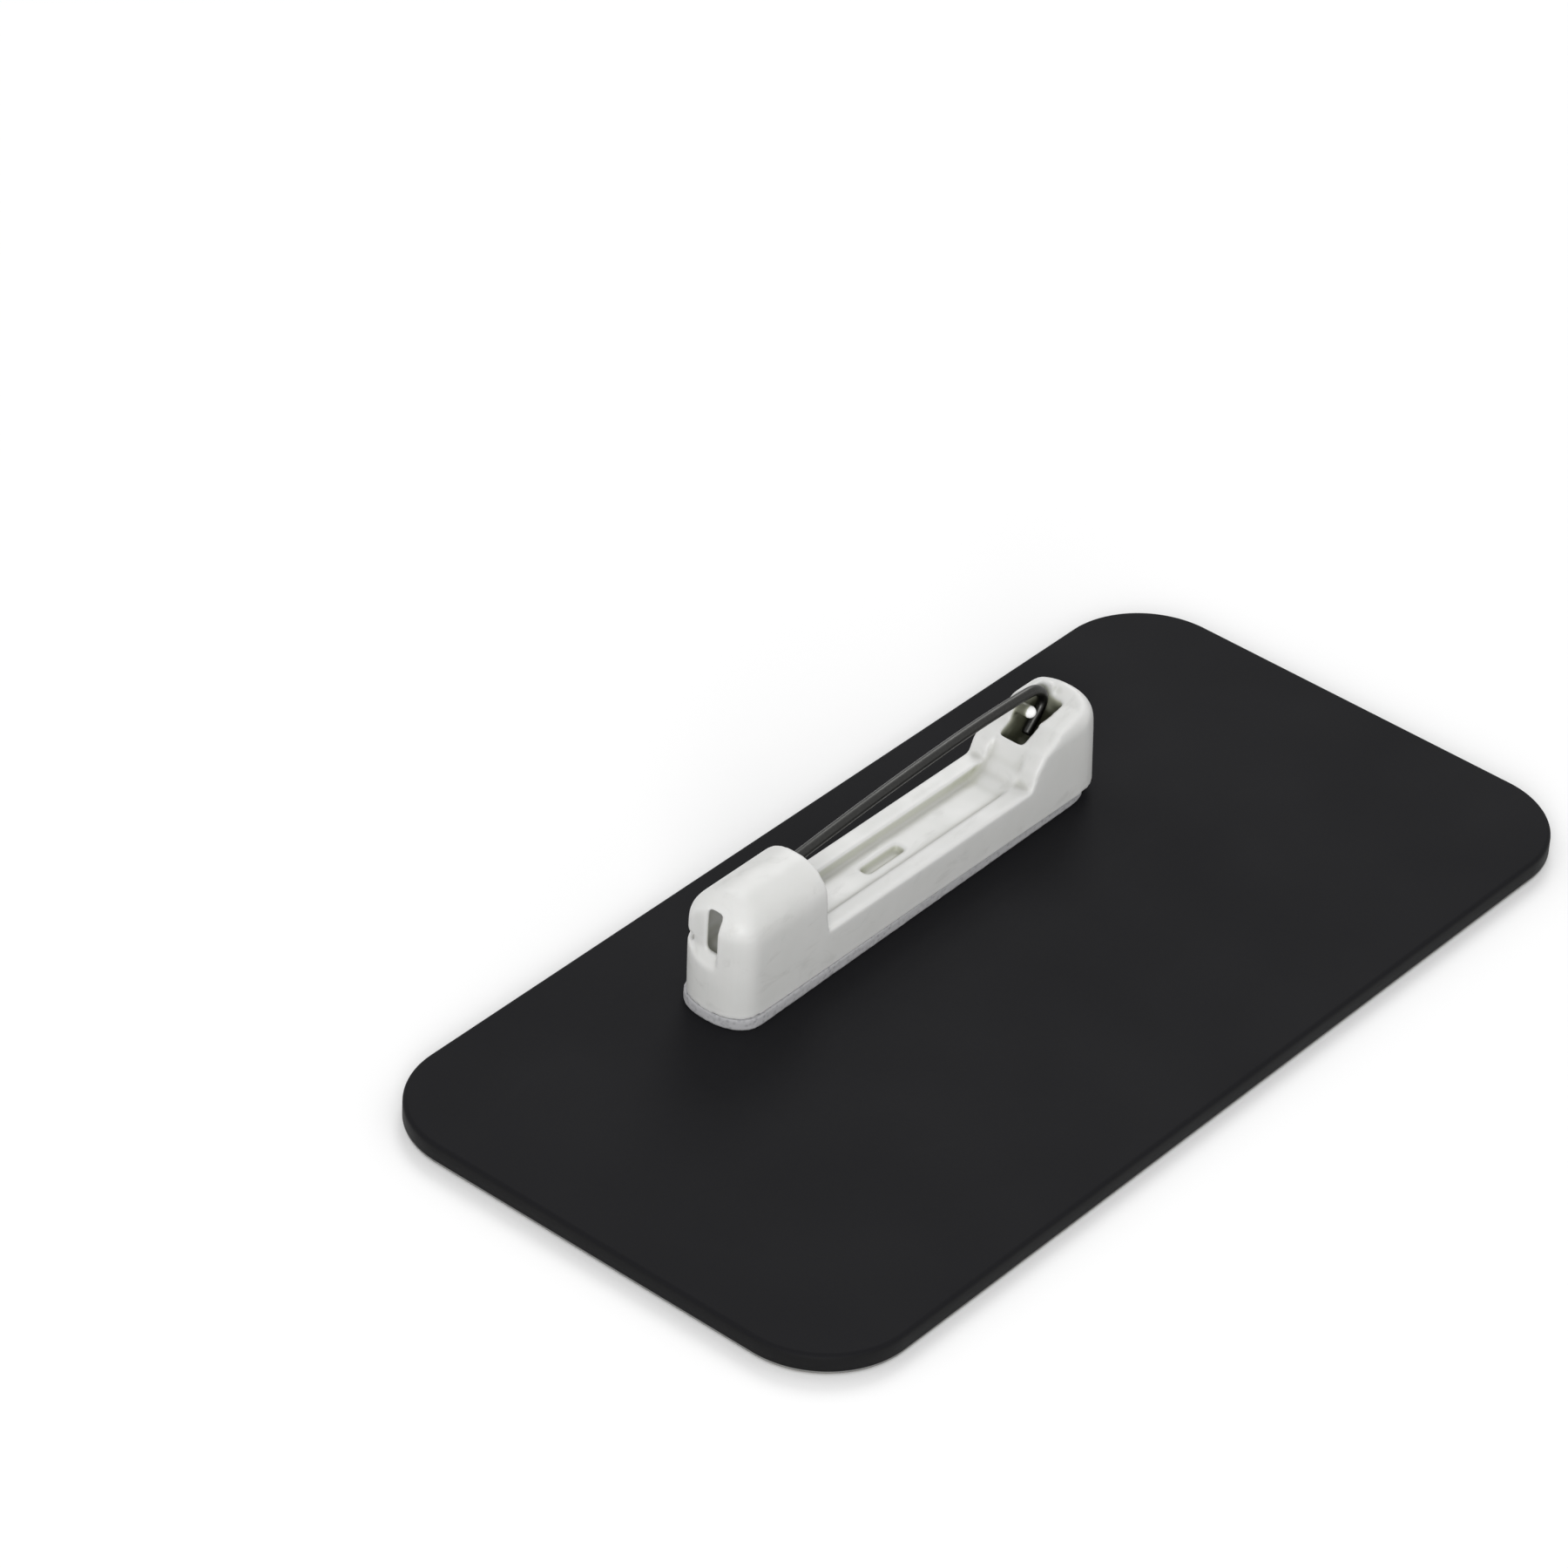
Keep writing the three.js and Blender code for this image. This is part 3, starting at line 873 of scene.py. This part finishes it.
def edges_of(mesh: bpy.types.Mesh) -> np.ndarray:
    """Gives the pairs of point numbers that a mesh's edges join."""
    edges = np.zeros(len(mesh.edges) * 2, dtype=np.int64)
    mesh.edges.foreach_get("vertices", edges)
    return edges.reshape(-1, 2)


def drawn_together(
    values: np.ndarray, edges: np.ndarray, pull: np.ndarray | float, rounds: int
) -> np.ndarray:
    """Evens out values on a mesh by drawing each towards the mean of its neighbours.

    Args:
        values: One row for each point.
        edges: Pairs of point numbers.
        pull: How much of the way each goes in a round.
        rounds: How many rounds.

    Returns:
        The evened values.
    """
    count = len(values)
    neighbours = np.maximum(np.bincount(edges.ravel(), minlength=count), 1)[:, None]
    for _ in range(rounds):
        total = np.zeros_like(values)
        for column in range(values.shape[1]):
            for one, other in ((0, 1), (1, 0)):
                beside = values[edges[:, other], column]
                total[:, column] += np.bincount(edges[:, one], beside, minlength=count)
        values = values + pull * (total / neighbours - values)
    return values


def even_directions(count: int) -> np.ndarray:
    """Gives unit vectors spread evenly over a sphere, on a spiral from pole to pole."""
    numbers = np.arange(count) + 0.5
    height = 1 - 2 * numbers / count
    turn = numbers * math.pi * (1 + math.sqrt(5))
    level = np.sqrt(1 - height**2)
    return np.stack([level * np.cos(turn), level * np.sin(turn), height], axis=1)


@dataclass
class PinBody:
    """The white moulding: bar, rails, catch hood, hinge head and post, with soft moulded edges."""

    voxel: float = 0.115
    rounds: int = 9
    pull: float = 0.5
    post_x: float = 13.975
    post_z: float = 8.67
    post_guard: float = 0.62
    post_pull: float = 0.06
    post_radius: float = 0.52
    polish_from_y: float = 8.45
    polish_to_y: float = 9.08
    shaft_to_y: float = 10.05
    hood_to_x: float = -9.1
    hood_glow: float = 0.62
    shaft_shade: float = 0.75
    foot_height: float = 0.35
    foot_pull: float = 0.15
    crease_rounds: int = 60
    crease_depth: float = 0.10
    directions: int = 36
    sight: float = 3.2
    lift: float = 0.03
    hollow_rounds: int = 5

    def pulls(self, points: np.ndarray) -> np.ndarray:
        """Gives how strongly each point is drawn to its neighbours.

        Args:
            points: The mesh's points.

        Returns:
            One pull for each point.
        """
        low, _ = node_box("pin_body")
        pull = np.full(len(points), self.pull)
        from_post = np.hypot(points[:, 0] - self.post_x, points[:, 2] - self.post_z)
        pull[from_post < self.post_guard] = self.post_pull
        pull[points[:, 2] < low[2] + self.foot_height] = self.foot_pull
        return pull[:, None]

    def creases(self, mesh: bpy.types.Mesh) -> np.ndarray:
        """Measures how each point bends: 1 in a full crease, -1 on a full edge."""
        points = points_of(mesh)
        evened = drawn_together(points, edges_of(mesh), self.pull, self.crease_rounds)
        rise = np.sum((evened - points) * normals_of(mesh), axis=1)
        return np.clip(rise / self.crease_depth, -1.0, 1.0)

    def hollows(self, mesh: bpy.types.Mesh) -> np.ndarray:
        """Measures how enclosed each point is: the share of its outlook that the moulding soon stops.

        The share sets how much painted shade each point gets. The thin walls of the hood let light
        through, so its inside counts as less enclosed and gets less painted shade, and the post's shaft
        lies in the shade of the wire's hook, so it gets painted shade.

        Args:
            mesh: The moulding in millimetres.

        Returns:
            One share for each point.
        """
        work = bmesh.new()
        work.from_mesh(mesh)
        tree = BVHTree.FromBMesh(work)
        work.free()
        normals = normals_of(mesh)
        starts = (points_of(mesh) + self.lift * normals).tolist()
        ways = even_directions(self.directions)
        weights = np.maximum(normals @ ways.T, 0.0)
        stopped = np.zeros(len(starts))
        for way, weight in zip(ways, weights.T):
            direction = Vector(way)
            for number in np.flatnonzero(weight):
                if tree.ray_cast(starts[number], direction, self.sight)[0] is not None:
                    stopped[number] += weight[number]
        share = stopped / weights.sum(axis=1)
        # less painted shade inside the hood, whose thin walls let light through
        share[points_of(mesh)[:, 0] < self.hood_to_x] *= self.hood_glow
        shaft = self.on_post(mesh, self.post_guard, self.polish_to_y, self.shaft_to_y)
        # painted shade: the post's shaft is made as dark as the shade of the wire's hook
        share[shaft] = np.maximum(share[shaft], self.shaft_shade)
        return drawn_together(share[:, None], edges_of(mesh), self.pull, self.hollow_rounds)[:, 0]

    def on_post(self, mesh: bpy.types.Mesh, reach: float, from_y: float, to_y: float) -> np.ndarray:
        """Finds the points on a stretch of the post.

        Args:
            mesh: The moulding in millimetres.
            reach: How far from the post's axis they may lie.
            from_y: Where the stretch starts.
            to_y: Where it ends.

        Returns:
            True for each point on it.
        """
        points = points_of(mesh)
        from_axis = np.hypot(points[:, 0] - self.post_x, points[:, 2] - self.post_z)
        return (from_axis < reach) & (points[:, 1] > from_y) & (points[:, 1] < to_y)

    def make(self) -> bpy.types.Object:
        """Makes the moulding from the node's own form, with its creases, hollows and the post's polished
        dome marked.
        """
        voxels = {"mode": "VOXEL", "voxel_size": self.voxel, "adaptivity": 0.0}
        mesh = with_modifiers(mesh_copy("pin_body"), ("REMESH", voxels))
        points = points_of(mesh)
        points = drawn_together(points, edges_of(mesh), self.pulls(points), self.rounds)
        mesh.vertices.foreach_set("co", points.ravel())
        mesh.polygons.foreach_set("use_smooth", [True] * len(mesh.polygons))
        mesh.update()
        # the post's dome: glossier, and brightened there as a painted highlight
        polish_and_highlight = self.on_post(mesh, self.post_radius, self.polish_from_y, self.polish_to_y).astype(float)
        marks = {"crease": self.creases(mesh), "hollow": self.hollows(mesh), "polish_and_highlight": polish_and_highlight}
        for name, values in marks.items():
            mesh.attributes.new(name, "FLOAT", "POINT").data.foreach_set("value", values)
        return piece_from("pin_moulding", mesh)

    def build(self) -> None:
        """Makes the moulding and dresses it."""
        moulding = self.make()
        dress(moulding, MouldedPlastic().material())
        settle(moulding, "pin_body", "badge")


@dataclass
class PinStem:
    """The steel wire: hooked over the post, with its point inside the hood."""

    levels: int = 2
    flat_angle: float = math.radians(20)
    thinning: float = 0.017

    def make(self) -> bpy.types.Object:
        """Makes the wire round and smooth from the node's own form, and as thick as it was."""
        mesh = mesh_copy("pin_stem")
        work = bmesh.new()
        work.from_mesh(mesh)
        bmesh.ops.join_triangles(
            work, faces=work.faces, angle_face_threshold=self.flat_angle, angle_shape_threshold=math.pi
        )
        work.to_mesh(mesh)
        work.free()
        mesh = with_modifiers(mesh, ("SUBSURF", {"levels": self.levels, "render_levels": self.levels}))
        points = points_of(mesh) + self.thinning * normals_of(mesh)
        mesh.vertices.foreach_set("co", points.ravel())
        mesh.polygons.foreach_set("use_smooth", [True] * len(mesh.polygons))
        return piece_from("steel_stem", mesh)

    def build(self) -> None:
        """Makes the wire and dresses it."""
        wire = self.make()
        dress(wire, DrawnSteel().material())
        settle(wire, "pin_stem", "stem")


@dataclass
class Light:
    """One soft light, aimed at the badge."""

    name: str
    place: Place
    width: float
    watts: float

    def build(self, target: Vector) -> None:
        """Places the light.

        Args:
            target: The point that it faces.
        """
        data = bpy.data.lights.new(self.name, "AREA")
        data.shape = "DISK"
        data.size = self.width
        data.energy = self.watts
        lamp = bpy.data.objects.new(self.name, data)
        lamp.location = self.place
        lamp.rotation_mode = "QUATERNION"
        lamp.rotation_quaternion = (Vector(self.place) - target).to_track_quat("Z", "Y")
        bpy.context.scene.collection.objects.link(lamp)


@dataclass
class Studio:
    """The pale floor, the soft lights and the camera at the photograph's place."""

    floor_half: float = 3.0
    floor_below_mm: float = 0.02
    floor_colour: Colour = (0.90, 0.90, 0.90)
    floor_roughness: float = 0.9
    floor_gloss: float = 0.1
    sky_colour: Colour = (1.0, 1.0, 1.0)
    sky_strength: float = 0.80
    view_transform: str = "Standard"
    camera_place: Place = (-0.26636, -0.19624, 0.25683)
    camera_back: Place = (-0.6282, -0.5049, 0.5920)
    camera_side: Place = (0.6504, -0.7583, 0.0435)
    nearest_seen: float = 0.01
    farthest_seen: float = 20.0
    focal_pixels: float = 7597.38
    photo_pixels: float = 1800.0
    sensor: float = 36.0
    lights: tuple[Light, ...] = (
        Light("behind", (0.50, 0.34, 0.52), 0.32, 1.5),
        Light("fill", (-0.525, -0.375, 0.281), 0.35, 2.4),
    )

    def make_floor(self) -> None:
        """Makes the floor that the badge lies on."""
        half = self.floor_half
        mesh = bpy.data.meshes.new("floor")
        corners = [(-half, -half, 0.0), (half, -half, 0.0), (half, half, 0.0), (-half, half, 0.0)]
        mesh.from_pydata(corners, [], [(0, 1, 2, 3)])
        floor = bpy.data.objects.new("floor", mesh)
        floor.location.z = -self.floor_below_mm * MM
        bpy.context.scene.collection.objects.link(floor)
        material, _, shader = new_material("pale_floor")
        shader.inputs["Base Color"].default_value = (*self.floor_colour, 1.0)
        shader.inputs["Roughness"].default_value = self.floor_roughness
        shader.inputs["Specular IOR Level"].default_value = self.floor_gloss
        mesh.materials.append(material)

    def make_sky(self) -> None:
        """Lights everything evenly from above."""
        world = bpy.data.worlds.new("studio")
        world.use_nodes = True
        background = world.node_tree.nodes["Background"]
        background.inputs["Color"].default_value = (*self.sky_colour, 1.0)
        background.inputs["Strength"].default_value = self.sky_strength
        bpy.context.scene.world = world

    def make_camera(self) -> None:
        """Puts the camera where the photograph was taken from."""
        back = Vector(self.camera_back).normalized()
        side = Vector(self.camera_side)
        side = (side - side.dot(back) * back).normalized()
        up = back.cross(side)
        data = bpy.data.cameras.new("camera")
        data.sensor_width = self.sensor
        data.lens = self.sensor * self.focal_pixels / self.photo_pixels
        data.clip_start, data.clip_end = self.nearest_seen, self.farthest_seen
        camera = bpy.data.objects.new("camera", data)
        turn = Matrix((side, up, back)).transposed().to_4x4()
        camera.matrix_world = Matrix.Translation(self.camera_place) @ turn
        bpy.context.scene.collection.objects.link(camera)
        bpy.context.scene.camera = camera

    def build(self) -> None:
        """Makes the whole studio, with plain colours as they are lit."""
        bpy.context.scene.view_settings.view_transform = self.view_transform
        self.make_floor()
        self.make_sky()
        self.make_camera()
        for light in self.lights:
            light.build(Vector((0.0, 0.0, 0.0)))


def main() -> None:
    """Builds the studio and every piece."""
    logging.basicConfig(level=logging.INFO, format="%(name)s: %(message)s")
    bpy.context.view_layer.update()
    Studio().build()
    for assembly in (Plate(), FoamPad(), PinBody(), PinStem()):
        assembly.build()
        LOG.info("built %s", type(assembly).__name__)


if __name__ == "__main__":
    main()
